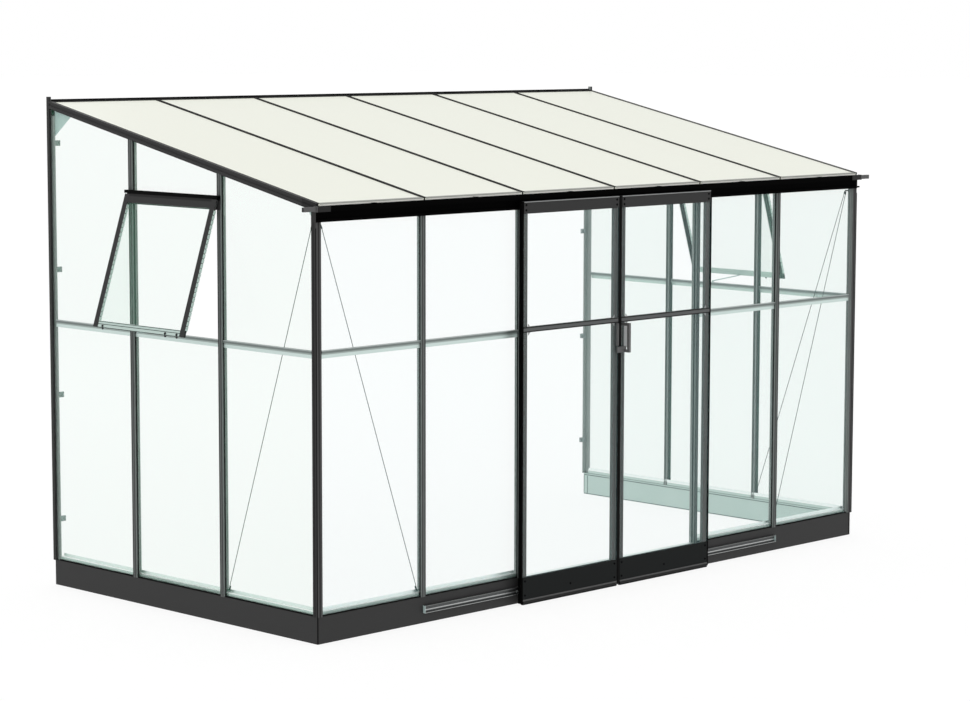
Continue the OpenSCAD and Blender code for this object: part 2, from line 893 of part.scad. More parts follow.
// Wire with an anchor at each end, drawn in a wall that runs along X
module brace(start, end) {
    left = start + upper_anchor_l;
    right = end - lower_anchor_l;
    low = base_h + wire_low;
    high = eave_z - wire_top;
    translate([start, 0, high])
        rotate([0, 90, 0])
            cylinder(h = upper_anchor_l, d = anchor_d);
    translate([right, 0, low])
        rotate([0, 90, 0])
            cylinder(h = lower_anchor_l, d = anchor_d);
    translate([left, 0, high])
        rotate([0, 180 - atan2(right - left, high - low), 0])
            cylinder(h = sqrt(pow(right - left, 2) + pow(high - low, 2)), d = wire_d);
}

module brace_wires() {
    color("gray")
        both_sides() {
            translate([side_x, fy(-wire_in), 0])
                brace(post_in, pitch - channel_w / 2);
            translate([gx(-wire_in), front_y, 0])
                rotate([0, 0, 90])
                    brace(post_in, pitch - channel_w / 2);
        }
}

// Spans of the header, the sash and the ledge between the bars along the gable
vent_y = [bar_y(1) - vent_lap, bar_y(2) + vent_lap];
sash_y = [bar_y(1) - sash_side_lap, bar_y(2) + sash_side_lap];
ledge_y = [bar_y(1) + cap_w / 2, bar_y(2) - cap_w / 2];

module vent_headers() {
    hood_x = gx(face_out + header_t + hood_d);
    ledge_z = header_z + ledge_up;
    color("dimgray")
        both_sides() {
            span([gx(face_out + header_t), gx(face_out)], vent_y, [header_z, header_top]);
            span([hood_x, gx(face_out + header_t)], vent_y, [header_top - hood_t, header_top]);
            span([hood_x, hood_x + hood_lip_t], vent_y, [header_top - hood_lip, header_top - hood_t]);
            span([gx(face_out), gx(flange_in)], ledge_y, [ledge_z, ledge_z + ledge_t]);
            span([gx(glass_in), gx(flange_in)], ledge_y, [ledge_z + ledge_t, ledge_z + ledge_t + ledge_lip]);
        }
}

// Carries a piece drawn for the closed sash, hanging under its hinge line, to the open pose
module on_hinge() {
    both_sides()
        translate([gx(hinge_out), 0, hinge_z])
            rotate([0, vent_angle, 0])
                children();
}

module vent_stiles() {
    color("dimgray")
        on_hinge() {
            span(about(0, sash_t), [sash_y[0], sash_y[0] + sash_w], [-sash_l, -sash_drop]);
            span(about(0, sash_t), [sash_y[1] - sash_w, sash_y[1]], [-sash_l, -sash_drop]);
        }
}

module vent_top_rails() {
    inner = [sash_y[0] + sash_w, sash_y[1] - sash_w];
    color("dimgray")
        on_hinge() {
            span(about(0, sash_t), inner, [-sash_drop - sash_top_h, -sash_drop]);
            span(about(0, hinge_d / 2), inner, [-sash_drop, 0]);
            translate([0, inner[0], 0])
                rotate([-90, 0, 0])
                    cylinder(h = inner[1] - inner[0], d = hinge_d);
        }
}

module vent_bottom_rails() {
    color("lightsteelblue")
        on_hinge()
            span(about(0, sash_low_t), [sash_y[0] + sash_w, sash_y[1] - sash_w],
                 [-sash_l, sash_low_h - sash_l]);
}

module vent_panes() {
    color([0.8, 0.93, 0.93, 0.4])
        on_hinge()
            span(about(0, glass_t), [sash_y[0] + sash_w, sash_y[1] - sash_w],
                 [sash_low_h - sash_l, -sash_drop - sash_top_h]);
}

// Point of the open sash: distance outwards of its middle plane and distance below the hinge line
function sash_point(out, down) = [gx(hinge_out) - down * sin(vent_angle) - out * cos(vent_angle),
                                  hinge_z - down * cos(vent_angle) + out * sin(vent_angle)];

module vent_stays() {
    foot_z = mid_z + strip_h / 2;
    foot = gx(glass_out + strip_t);
    near = sash_point(-sash_low_t / 2, sash_l);
    far = sash_point(sash_low_t / 2, sash_l);
    down = [0, -stay_t];
    color("lightgray")
        both_sides()
            translate([0, (vent_y[0] + vent_y[1] + stay_w) / 2, 0])
                rotate([90, 0, 0])
                    linear_extrude(stay_w)
                        polygon([[gx(glass_in), foot_z], [gx(glass_in), foot_z + stay_t + stay_foot],
                                 near, far, far + down, near + down,
                                 [foot, foot_z + stay_foot], [foot, foot_z]]);
}

// Each door is drawn for the right half of the doorway
module door_stiles() {
    y = [fy(door_skin_out), fy(door_back)];
    span([stile_in, glass_left], y, [kick_z, head_z]);
    span([glass_right, door_edge], y, [kick_z, head_z]);
}

module door_rails() {
    x = [stile_in, door_edge];
    back = fy(door_front - door_rail_t);
    mid = [door_mid_z, door_mid_z + door_mid_h];
    span(x, [fy(door_front), fy(door_back)], [head_z, door_top]);
    span(x, [fy(door_front), fy(door_skin_out)], mid);
    span([glass_left, glass_right], [fy(door_skin_out), back], mid);
    span(x, [fy(door_front + low_lip), back], [door_low, kick_z]);
}

module door_panes() {
    x = [stile_in, door_edge];
    y = [fy(door_pane_out), fy(door_skin_out)];
    span(x, y, [kick_top, door_mid_z]);
    span(x, y, [door_mid_z + door_mid_h, head_z]);
}

module door_kick_panel() {
    span([stile_in, door_edge], [fy(door_front), fy(door_skin_out)], [kick_z, kick_top]);
}

module door_seals() {
    z = [door_low, door_top];
    span([meet_gap, stile_in], about(fy(door_mid_out), seal_t), z);
    span([door_edge, door_edge + side_seal_w], about(fy(door_mid_out), seal_t), z);
}

module door_runners() {
    shoe_z = [guide_z + guide_t + shoe_clear, guide_z + guide_h - guide_t - shoe_clear];
    for (x = [glass_left + roller_in, glass_right - roller_in]) {
        translate([x, fy(door_back), axle_z])
            rotate([-90, 0, 0])
                cylinder(h = door_back - roller_out, d = axle_d);
        translate([x, fy(roller_out + roller_w / 2), axle_z])
            rotate([-90, 0, 0])
                cylinder(h = roller_w, d = roller_d);
        span(about(x, shoe_l), [fy(door_skin_out), fy(base_out + guide_t + shoe_clear)], shoe_z);
    }
}

module left_door_stiles() {
    color("dimgray")
        mirror([1, 0, 0])
            door_stiles();
}

module left_door_rails() {
    color("dimgray")
        mirror([1, 0, 0])
            door_rails();
}

module left_door_panes() {
    color([0.8, 0.93, 0.93, 0.4])
        mirror([1, 0, 0])
            door_panes();
}

module left_door_kick_panel() {
    color([0.15, 0.15, 0.15])
        mirror([1, 0, 0])
            door_kick_panel();
}

module left_door_seals() {
    color([0.05, 0.05, 0.05])
        mirror([1, 0, 0])
            door_seals();
}

module left_door_runners() {
    color("silver")
        mirror([1, 0, 0])
            door_runners();
}

module right_door_stiles() {
    color("dimgray")
        door_stiles();
}

module right_door_rails() {
    color("dimgray")
        door_rails();
}

module right_door_panes() {
    color([0.8, 0.93, 0.93, 0.4])
        door_panes();
}

module right_door_kick_panel() {
    color([0.15, 0.15, 0.15])
        door_kick_panel();
}

module right_door_seals() {
    color([0.05, 0.05, 0.05])
        door_seals();
}

module right_door_runners() {
    color("silver")
        door_runners();
}

// Folded strip on the meeting stile, beside the handle of the other door
module left_door_pull() {
    x = -stile_in - handle_in - handle_t / 2;
    z = [handle_z + latch_h + latch_clear, handle_z + handle_l];
    color("gray") {
        span([x, x + handle_t], [fy(door_pane_out + pull_t), fy(door_pane_out)], z);
        span([x, x + pull_t], [fy(door_pane_out + pull_d), fy(door_pane_out + pull_t)], z);
    }
}

// Grip with an arm under it that hooks in front of the other door
module right_door_handle() {
    x = about(stile_in + handle_in, handle_t);
    y = [fy(handle_front), fy(door_pane_out)];
    color("gray") {
        difference() {
            span(x, y, [handle_z, handle_z + handle_l]);
            span([x[0] - overrun, x[1] + overrun], [y[0] + handle_t, y[1] + overrun],
                 [handle_z + handle_t, handle_z + handle_l - handle_t]);
        }
        span([-x[1], x[1]], [fy(door_front + latch_clear + latch_t), fy(door_front + latch_clear)],
             [handle_z, handle_z + latch_h]);
    }
}

base_front();
base_left();
base_right();
corner_posts();
wall_posts();
wall_brackets();
front_bars();
front_bar_caps();
gable_bars();
gable_bar_caps();
front_sills();
gable_sills();
front_mid_strips();
gable_mid_strips();
eave_beam();
gutter();
gutter_outlets();
door_track();
door_guide_rail();
rafters();
roof_bars();
wall_plate();
roof_panes();
roof_edge_strips();
gusset_plates();
front_panes();
gable_panes();
brace_wires();
vent_headers();
vent_stiles();
vent_top_rails();
vent_bottom_rails();
vent_panes();
vent_stays();
left_door_stiles();
left_door_rails();
left_door_panes();
left_door_kick_panel();
left_door_seals();
left_door_runners();
left_door_pull();
right_door_stiles();
right_door_rails();
right_door_panes();
right_door_kick_panel();
right_door_seals();
right_door_runners();
right_door_handle();
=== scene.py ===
import math

import bpy
import numpy as np
from mathutils import Matrix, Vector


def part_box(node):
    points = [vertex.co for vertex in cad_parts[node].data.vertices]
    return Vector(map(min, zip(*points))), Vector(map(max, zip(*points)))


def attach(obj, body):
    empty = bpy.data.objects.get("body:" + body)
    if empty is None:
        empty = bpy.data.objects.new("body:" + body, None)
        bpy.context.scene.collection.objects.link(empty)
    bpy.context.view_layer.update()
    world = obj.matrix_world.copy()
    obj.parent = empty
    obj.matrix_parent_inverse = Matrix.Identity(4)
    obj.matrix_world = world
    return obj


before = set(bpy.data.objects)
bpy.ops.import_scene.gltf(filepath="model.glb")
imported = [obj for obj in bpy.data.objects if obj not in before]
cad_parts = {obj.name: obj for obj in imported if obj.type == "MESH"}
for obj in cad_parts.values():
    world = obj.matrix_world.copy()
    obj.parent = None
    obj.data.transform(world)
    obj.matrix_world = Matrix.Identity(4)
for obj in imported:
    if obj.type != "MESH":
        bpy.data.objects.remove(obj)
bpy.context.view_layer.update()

# Studio: a seamless sheet of white paper lit from below as well, an even white surround and two large soft
# lamps. The camera stands off the front left corner, a little above eye level, with a long lens.
scene = bpy.context.scene
scene.view_settings.view_transform = "Standard"


def linear(colour):
    """sRGB hex to linear: below 0.04045 divide by 12.92, else ((c + 0.055) / 1.055) to the power 2.4."""
    c = np.array([int(colour[i:i + 2], 16) for i in (1, 3, 5)]) / 255
    return (*np.where(c <= 0.04045, c / 12.92, ((c + 0.055) / 1.055) ** 2.4), 1.0)


def add(tree, kind, inputs=(), **settings):
    """Adds a node, gives it its own settings, and sets each input to a value or links it to an output."""
    made = tree.nodes.new(kind)
    for name, value in settings.items():
        setattr(made, name, value)
    for name, value in dict(inputs).items():
        if isinstance(value, bpy.types.NodeSocket):
            tree.links.new(value, made.inputs[name])
        else:
            made.inputs[name].default_value = value
    return made


def material(name):
    """An empty material with its node tree, where on the piece each point lies, and the output for its shader."""
    made = bpy.data.materials.new(name)
    made.use_nodes = True
    tree = made.node_tree
    tree.nodes.clear()
    surface = tree.nodes.new("ShaderNodeOutputMaterial").inputs["Surface"]
    return made, tree, add(tree, "ShaderNodeTexCoord").outputs["Object"], surface


def shaded(tree, place, tone, shades, bands=()):
    """A colour that drifts with the tone between two close shades. In each of bands (axis, low, high, shades), a
    stretch between two distances along an axis, it has shades of its own; x counts without its sign."""
    colour = add(tree, "ShaderNodeMix", {"Factor": tone, 6: linear(shades[0]), 7: linear(shades[1])},
                 data_type="RGBA").outputs[2]
    for axis, low, high, own in bands:
        along = add(tree, "ShaderNodeSeparateXYZ", {0: place}).outputs[axis]
        if axis == "X":
            along = add(tree, "ShaderNodeMath", {0: along}, operation="ABSOLUTE").outputs[0]
        inside = add(tree, "ShaderNodeMath", {0: along, 1: (low + high) / 2, 2: (high - low) / 2},
                     operation="COMPARE").outputs[0]
        colour = add(tree, "ShaderNodeMix", {"Factor": inside, 6: colour, 7: shaded(tree, place, tone, own)},
                     data_type="RGBA").outputs[2]
    return colour


def grid_faces(rows, columns, closed=False):
    """Quads of a grid of points: each joins a point to the next in its row and to the row after."""
    r = np.arange(rows - 1)[:, None]
    c = np.arange(columns if closed else columns - 1)[None, :]
    c1 = (c + 1) % columns
    quads = [r * columns + c, r * columns + c1, (r + 1) * columns + c1, (r + 1) * columns + c]
    return np.stack(quads, -1).reshape(-1, 4)


def mesh(name, points, faces, finish):
    """One object from an array of points and arrays of faces, with its material."""
    made = bpy.data.meshes.new(name)
    made.from_pydata(points.tolist(), [], sum((f.tolist() for f in faces), []))
    made.materials.append(finish)
    piece = bpy.data.objects.new(name, made)
    scene.collection.objects.link(piece)
    return piece


# Matt paper on a light table: most of its white is its own glow, so that no shadow lies under the base.
paper, tree, place, surface = material("white_background_paper")
fibre = add(tree, "ShaderNodeTexNoise", {"Vector": place, "Scale": 1 / 0.025, "Detail": 3.0}).outputs["Fac"]
tree.links.new(add(tree, "ShaderNodeBsdfPrincipled", {
    "Base Color": shaded(tree, place, fibre, ("#646464", "#686868")), "Roughness": 0.9,
    "Specular IOR Level": 0.05, "Emission Color": (1.0, 1.0, 1.0, 1.0), "Emission Strength": 0.86,
}).outputs[0], surface)
floor_half, floor_drop, floor_lines = 120.0, 0.0005, 9
side = np.linspace(-floor_half, floor_half, floor_lines)
x, y = np.meshgrid(side, side)
floor = mesh("floor", np.stack([x, y, 0 * x - floor_drop], -1).reshape(-1, 3),
             [grid_faces(floor_lines, floor_lines)], paper)

world = bpy.data.worlds.new("even_white_surround")
world.use_nodes = True
world.node_tree.nodes["Background"].inputs["Color"].default_value = (1.0, 1.0, 1.0, 1.0)
world.node_tree.nodes["Background"].inputs["Strength"].default_value = 1.0
scene.world = world


def lamp(name, place, target, size, power):
    """A square soft lamp at a place, turned so that its face looks at the target."""
    made = bpy.data.lights.new(name, "AREA")
    made.size = size
    made.energy = power
    stand = bpy.data.objects.new(name, made)
    back = np.array(place, float) - np.array(target, float)
    back /= np.linalg.norm(back)
    right = np.cross((0.0, 0.0, 1.0), back)
    right /= np.linalg.norm(right)
    turn = np.eye(4)
    turn[:3, :3] = np.stack([right, np.cross(back, right), back], 1)
    turn[:3, 3] = place
    stand.matrix_world = Matrix(turn.tolist())
    scene.collection.objects.link(stand)


lamp("key_lamp", place=(-6.0, -9.0, 9.0), target=(0.0, 0.0, 1.0), size=6.0, power=140.0)
lamp("back_fill_lamp", place=(1.5, 9.0, 5.0), target=(0.0, 0.0, 0.5), size=6.0, power=60.0)

# The camera's place, turn and focal length, in pixels of the picture, were fitted to the edges of the building.
camera_place = (-9.81495, -9.71640, 2.64898)
azimuth, elevation, roll = (math.radians(a) for a in (-45.426, 6.563, -0.119))
focal_px, picture_px, sensor_mm = 2780.36, 970, 36.0
back = np.array([math.sin(azimuth) * math.cos(elevation), -math.cos(azimuth) * math.cos(elevation),
                 math.sin(elevation)])
right = np.array([math.cos(azimuth), math.sin(azimuth), 0.0])
up = np.cross(back, right)
stand = np.eye(4)
stand[:3, 0] = math.cos(roll) * right - math.sin(roll) * up
stand[:3, 1] = math.sin(roll) * right + math.cos(roll) * up
stand[:3, 2] = back
stand[:3, 3] = camera_place
lens = bpy.data.cameras.new("camera")
lens.sensor_fit = "HORIZONTAL"
lens.sensor_width = sensor_mm
lens.lens = sensor_mm * focal_px / picture_px
camera = bpy.data.objects.new("camera", lens)
camera.matrix_world = Matrix(stand.tolist())
scene.collection.objects.link(camera)
scene.camera = camera

# Base: three folded steel channels that stand on the ground and are bolted at the corners. The outside has the
# dark grey powder coat of the frame; the inside keeps its pale zinc primer, which shows through the glass.


def corners(name):
    """The lowest and the highest corner of a CAD piece."""
    return np.array(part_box(name), float)


def powder_coat(name, shades, rough, level, bands=()):
    """Powder coat on metal: two close shades drift into each other about every 200 mm, the gloss drifts with
    them, and the orange peel is a bump. Some stretches, given as bands, have shades of their own."""
    made, tree, place, surface = material(name)
    drift = add(tree, "ShaderNodeTexNoise", {"Vector": place, "Scale": 1 / 0.2, "Detail": 4.0}).outputs["Fac"]
    # The real peel is about 1 mm across, too fine to show here, so it is drawn at 4 mm.
    peel = add(tree, "ShaderNodeTexNoise", {"Vector": place, "Scale": 1 / 0.004, "Detail": 2.0}).outputs["Fac"]
    tree.links.new(add(tree, "ShaderNodeBsdfPrincipled", {
        "Base Color": shaded(tree, place, drift, shades, bands), "Specular IOR Level": level,
        "Roughness": add(tree, "ShaderNodeMapRange", {
            "Value": drift, "To Min": rough[0], "To Max": rough[1]}).outputs[0],
        "Normal": add(tree, "ShaderNodeBump", {"Height": peel, "Strength": 0.15, "Distance": 0.0004}).outputs[0],
    }).outputs[0], surface)
    return made


def finish_node(finish, *names):
    """Gives CAD pieces their finish."""
    for name in names:
        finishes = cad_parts[name].data.materials
        finishes.clear()
        finishes.append(finish)


base_front, base_side = corners("base_front"), corners("base_left")
base_top = base_front[1][2]
sheet_t = 0.003
base_shades, primer = ("#262626", "#2A2A2A"), ("#B4C8C2", "#BECFCA")
finish_node(powder_coat("base_front_coat", base_shades, (0.5, 0.6), 0.25,
                        [("Y", base_front[1][1] - sheet_t, 0.0, primer)]), "base_front")
finish_node(powder_coat("base_side_coat", base_shades, (0.5, 0.6), 0.25,
                        [("X", 0.0, -base_side[1][0] + sheet_t, primer)]), "base_left", "base_right")

# Glass seat: a strip of black rubber on the ledge of the base, along the foot of the lower panes. It is extruded
# EPDM and lies loose under the glass; here and at every other edge of glass it is the darkest line.


def epdm(name, shades, level, bands=()):
    """Extruded EPDM rubber: matt, with a little bloom in patches of 30 mm that lightens and dulls the black."""
    made, tree, place, surface = material(name)
    bloom = add(tree, "ShaderNodeTexNoise", {"Vector": place, "Scale": 1 / 0.03, "Detail": 4.0}).outputs["Fac"]
    tree.links.new(add(tree, "ShaderNodeBsdfPrincipled", {
        "Base Color": shaded(tree, place, bloom, shades, bands), "Specular IOR Level": level,
        "Roughness": add(tree, "ShaderNodeMapRange", {"Value": bloom, "To Min": 0.7, "To Max": 0.85}).outputs[0],
    }).outputs[0], surface)
    return made


def row(x, y, z):
    """Places in a row: each of x, y and z is one value for all, or one for each place."""
    return np.stack(np.broadcast_arrays(*np.atleast_1d(x, y, z)), 1).astype(float)


def skin(rings):
    """Points and faces of closed shapes, each a row of rings: quads join ring to ring, and the first and the last
    ring are closed flat."""
    shapes, rows, around, _ = rings.shape
    first = np.arange(shapes)[:, None] * rows * around
    walls = (grid_faces(rows, around, True)[None] + first[:, :, None]).reshape(-1, 4)
    ends = np.concatenate([first + np.arange(around)[::-1], first + (rows - 1) * around + np.arange(around)])
    return rings.reshape(-1, 3), [walls, ends]


def straight_run(loop, starts, ends, across, out):
    """A profile carried along straight lines that all run one way: every point of the loop (a, b) lies at a times
    across plus b times out from the line, at its start and at its end. The loop is turned round where that is
    needed to face outwards."""
    loop, starts, ends, across, out = (np.asarray(v, float) for v in (loop, starts, ends, across, out))
    area = np.sum(loop[:, 0] * np.roll(loop[:, 1], -1) - np.roll(loop[:, 0], -1) * loop[:, 1])
    if area * np.dot(np.cross(across, out), ends[0] - starts[0]) < 0:
        loop = loop[::-1]
    section = loop[:, :1] * across + loop[:, 1:] * out
    return skin(np.stack([starts, ends], 1)[:, :, None, :] + section)


def joined(shapes):
    """Several sets of points and faces as one: the faces of each count on from the points before it."""
    points, faces = zip(*shapes)
    first = np.cumsum([0] + [len(p) for p in points])
    return np.concatenate(points), [f + n for group, n in zip(faces, first) for f in group]


def dress(name, shape, finish, body="frame"):
    """A new piece with its finish and its material slot, riding on a body."""
    piece = mesh(name, *shape, finish)
    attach(piece, body)
    return piece


rubber = epdm("black_epdm_rubber", ("#0E0E0E", "#161616"), 0.05)
glass_y, glass_x = corners("front_panes")[0][1], corners("gable_panes")[1][0]
caps, side_caps = corners("front_bar_caps"), corners("gable_bar_caps")
posts = corners("corner_posts")
cap_w, post_w = 0.026, 0.030
pitch = (caps[1][0] - caps[0][0] - cap_w) / 4
front_bars = pitch * np.array([-2.0, -1.0, 1.0, 2.0])
side_bars = side_caps[0][1] + cap_w / 2 + pitch * np.array([0.0, 1.0])
both = np.array([-1.0, 1.0])
post_in_x, post_in_y = posts[1][0] - post_w, posts[0][1] + post_w
seat = [(0, 0), (0.005, 0), (0.0045, 0.004), (0.003, 0.0055), (0, 0.0055)]
runs = [straight_run(seat, row(s * (pitch + cap_w / 2), glass_y, base_top),
                     row(s * post_in_x, glass_y, base_top), (0, -1, 0), (0, 0, 1)) for s in both]
runs += [straight_run(seat, row(s * glass_x, post_in_y, base_top),
                      row(s * glass_x, base_side[1][1] - post_w, base_top), (s, 0, 0), (0, 0, 1)) for s in both]
dress("glass_seat_strips", joined(runs), rubber)

# Seams and folds of the base: a bead of rubber seals the joint down each front corner. Inside, the sheet is
# folded over along the top and the foot, and a folded plate closes the back end of each side channel.
turn = np.linspace(0, 2 * np.pi, 8, endpoint=False)
circle = np.stack([np.cos(turn), np.sin(turn)], 1)
seam_r, seam_foot = 0.003, 0.0015
foot = row(both * base_side[0][0], base_front[0][1], seam_foot)
seams = straight_run(seam_r * circle, foot, foot + (0, 0, base_top - seam_foot), (1, 0, 0), (0, 1, 0))
dress("base_corner_seams", seams, rubber)
fold_t, fold_w = 0.0008, 0.004
fold = [(0, 0), (fold_t, 0), (fold_t, fold_w), (0, fold_w)]
fold_low, fold_high, fold_short = 0.001, base_top - 0.010, 0.002
plate_edges, plate_low, plate_h = (0.004, 0.030), 0.006, base_top - 0.018
runs = []
for s in both:
    inside = -s * base_side[1][0]
    for z in (fold_low, fold_high):
        runs.append(straight_run(fold, row(inside, base_front[1][1], z),
                                 row(inside, base_side[1][1] - fold_short, z), (-s, 0, 0), (0, 0, 1)))
    for back_off in plate_edges:
        foot = row(inside, base_side[1][1] - back_off, plate_low)
        runs.append(straight_run(fold, foot, foot + (0, 0, plate_h), (-s, 0, 0), (0, 1, 0)))
# The folds are primer painted darker: painted shade in the folds.
fold_painted_shade = powder_coat("fold_shadow_primer", ("#5A6462", "#6C7674"), (0.6, 0.7), 0.2)
dress("base_inner_folds", joined(runs), fold_painted_shade)

# Posts: two corner posts and two wall posts, extruded aluminium, coated and bolted to the base. The front face
# of a corner post is painted lighter than the side, a painted highlight, with a rubber bead down its outer
# corner. The inner sides of the posts look lighter through the glass.
wall = corners("wall_posts")
wall_side, post_front = 0.013, posts[0][1]
# A band of colour reaches well past the face that it is for, and a hair into the piece behind it.
past, near = 0.010, 0.001
finish_node(powder_coat("corner_post_coat", ("#1E1E1E", "#232323"), (0.5, 0.62), 0.25, [
    ("X", 1.0, post_in_x + near / 2, ("#6A706E", "#828886")),
    # Painted highlight: the front face of the post is lighter than its sides.
    ("Y", post_front - past, post_front + near, ("#3C3C3C", "#444444"))]), "corner_posts")
finish_node(powder_coat("wall_post_coat", ("#242424", "#2A2A2A"), (0.5, 0.62), 0.25, [
    ("X", 1.0, wall[1][0] - wall_side, ("#868C8A", "#9AA09E"))]), "wall_posts")
bead_r, bead_short = 0.002, 0.08
bead_h = posts[1][2] - base_top - bead_short
foot = row(both * posts[1][0], post_front, base_top)
beads = straight_run(bead_r * circle, foot, foot + (0, 0, bead_h), (1, 0, 0), (0, 1, 0))
dress("post_corner_beads", beads, rubber)

# Glazing bars and caps: extruded aluminium, coated. A bar stands behind the glass, its cap is screwed on from
# outside, and a rubber gasket along both flanks of the cap presses the glass. A cap has a dark satin face and
# lighter flanks; the channel on the inner side of a bar is lighter than its stem.
flank, face = ("#5E6462", "#727876"), ("#303030", "#3A3A3A")
stem, channel = ("#4E5452", "#5E6462"), ("#8E9492", "#A4AAA8")
bar, side_bar = corners("front_bars"), corners("gable_bars")
face_t, stem_deep = 0.0015, 0.010
finish_node(powder_coat("front_cap_coat", flank, (0.45, 0.55), 0.3, [
    ("Y", caps[0][1] - past, caps[0][1] + face_t, face)]), "front_bar_caps")
finish_node(powder_coat("gable_cap_coat", flank, (0.45, 0.55), 0.3, [
    ("X", side_caps[1][0] - face_t, side_caps[1][0] + past, face)]), "gable_bar_caps")
finish_node(powder_coat("front_bar_coat", stem, (0.5, 0.62), 0.25, [
    ("Y", bar[0][1] + stem_deep, 0.0, channel)]), "front_bars")
finish_node(powder_coat("gable_bar_coat", stem, (0.5, 0.62), 0.25, [
    ("X", 1.0, side_bar[1][0] - stem_deep, channel)]), "gable_bars")
# The caps of the gables end on the slope of the roof, which is read off the top edge of the rafters.
rafter = corners("rafters")
rafter_points = np.empty(3 * len(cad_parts["rafters"].data.vertices), np.float32)
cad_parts["rafters"].data.vertices.foreach_get("co", rafter_points)
rafter_points = rafter_points.reshape(-1, 3)
eave_z = rafter_points[rafter_points[:, 1] < rafter[0][1] + near, 2].max()
slope = (rafter[1][2] - eave_z) / (rafter[1][1] - rafter[0][1])
lip = [(0, 0), (0.0028, 0), (0.0022, 0.0030), (0.0009, 0.0040), (0, 0.0040)]
lip_short = 0.002
runs = []
for s in both:
    at = front_bars + s * cap_w / 2
    runs.append(straight_run(lip, row(at, glass_y, caps[0][2]), row(at, glass_y, caps[1][2]),
                             (s, 0, 0), (0, -1, 0)))
    at = side_bars + s * cap_w / 2
    top = side_caps[1][2] - slope * (side_caps[1][1] - at) - lip_short
    for o in both:
        runs.append(straight_run(lip, row(o * glass_x, at, side_caps[0][2]), row(o * glass_x, at, top),
                                 (0, s, 0), (o, 0, 0)))
dress("cap_gaskets", joined(runs), rubber)

# Inserts: black rubber strips pressed into the slots of the bars, two on the inner face of each bar and one along
# each flank of its channel. In the gables they end just under the eave.
slot_w, insert_t, slot_off = 0.002, 0.0006, 0.005
insert = [(-slot_w / 2, 0), (slot_w / 2, 0), (slot_w / 2, insert_t), (-slot_w / 2, insert_t)]
channel_w, flank_in = 0.016, 0.007
bar_end, bar_foot = 0.01, 0.03
side_in = side_bar[1][0] - (bar[1][1] - bar[0][1])
side_low, side_high = side_bar[0][2] + bar_foot, bar[1][2] - bar_end / 2
runs = []
for s in both:
    at, back = front_bars + s * slot_off, bar[1][1]
    runs.append(straight_run(insert, row(at, back, bar[0][2] + bar_end), row(at, back, bar[1][2] - bar_end),
                             (1, 0, 0), (0, 1, 0)))
    at, back = front_bars + s * channel_w / 2, bar[1][1] - flank_in
    runs.append(straight_run(insert, row(at, back, bar[0][2] + bar_foot), row(at, back, bar[1][2] - bar_end),
                             (0, 1, 0), (s, 0, 0)))
    for o in both:
        at = side_bars + s * slot_off
        runs.append(straight_run(insert, row(o * side_in, at, side_low), row(o * side_in, at, side_high),
                                 (0, 1, 0), (-o, 0, 0)))
        at, back = side_bars + s * channel_w / 2, o * (side_in + flank_in)
        runs.append(straight_run(insert, row(back, at, side_low), row(back, at, side_high), (o, 0, 0), (0, s, 0)))
dress("bar_inserts", joined(runs), rubber)

# Sills and joint strips: bare extruded aluminium, clipped to the bars. A sill lies behind the foot of the glass,
# and a joint strip holds the upper pane over the lower one. Die lines run along both. The hollows between their
# ribs are darker with painted shade; the top edge of a sill has a painted highlight and its foot painted shade.


def mill_aluminium(name, shades, rough, bands=()):
    """Bare extruded aluminium: die lines lie level, 3 mm apart and 300 mm long, in two close shades and as a
    bump. Some stretches, given as bands, have shades of their own, such as painted shade in a hollow or a
    painted highlight on a lit edge."""
    made, tree, place, surface = material(name)
    drawn = add(tree, "ShaderNodeVectorMath", {0: place, 1: (1 / 0.3, 1 / 0.3, 1 / 0.003)},
                operation="MULTIPLY").outputs[0]
    lines = add(tree, "ShaderNodeTexNoise", {"Vector": drawn, "Scale": 1.0, "Detail": 2.0}).outputs["Fac"]
    tree.links.new(add(tree, "ShaderNodeBsdfPrincipled", {
        "Base Color": shaded(tree, place, lines, shades, bands), "Metallic": 0.85,
        "Roughness": add(tree, "ShaderNodeMapRange", {
            "Value": lines, "To Min": rough[0], "To Max": rough[1]}).outputs[0],
        "Normal": add(tree, "ShaderNodeBump", {"Height": lines, "Strength": 0.1, "Distance": 0.0003}).outputs[0],
    }).outputs[0], surface)
    return made


sill = corners("front_sills")
sill_top, sill_rib = sill[1][2], 0.004
# Painted highlight along the top edge of a sill, painted shade along its foot.
finish_node(mill_aluminium("sill_aluminium", ("#B6C8C2", "#C4D4CE"), (0.4, 0.5), [
    ("Z", sill_top - sill_rib, sill_top + near, ("#F0F6F4", "#FFFFFF")),
    ("Z", sill[0][2] - near, sill[0][2] + sill_rib, ("#8A9894", "#98A6A2"))]), "front_sills", "gable_sills")
strip_top = corners("front_mid_strips")[1][2]
rib_low, hollow_low, hollow_high = strip_top - 0.019, strip_top - 0.013, strip_top - 0.003
# Painted shade: the bands under the top edge of a joint strip, darkest in the hollow under the rib.
finish_node(mill_aluminium("joint_strip_aluminium", ("#C2D2CE", "#D2E0DC"), (0.4, 0.5), [
    ("Z", hollow_high, strip_top + near, ("#A8B0AE", "#B8C0BE")),
    ("Z", hollow_low, hollow_high, ("#6E7674", "#7E8684")),
    ("Z", rib_low, hollow_low, ("#98A4A0", "#A6B2AE"))]), "front_mid_strips", "gable_mid_strips")

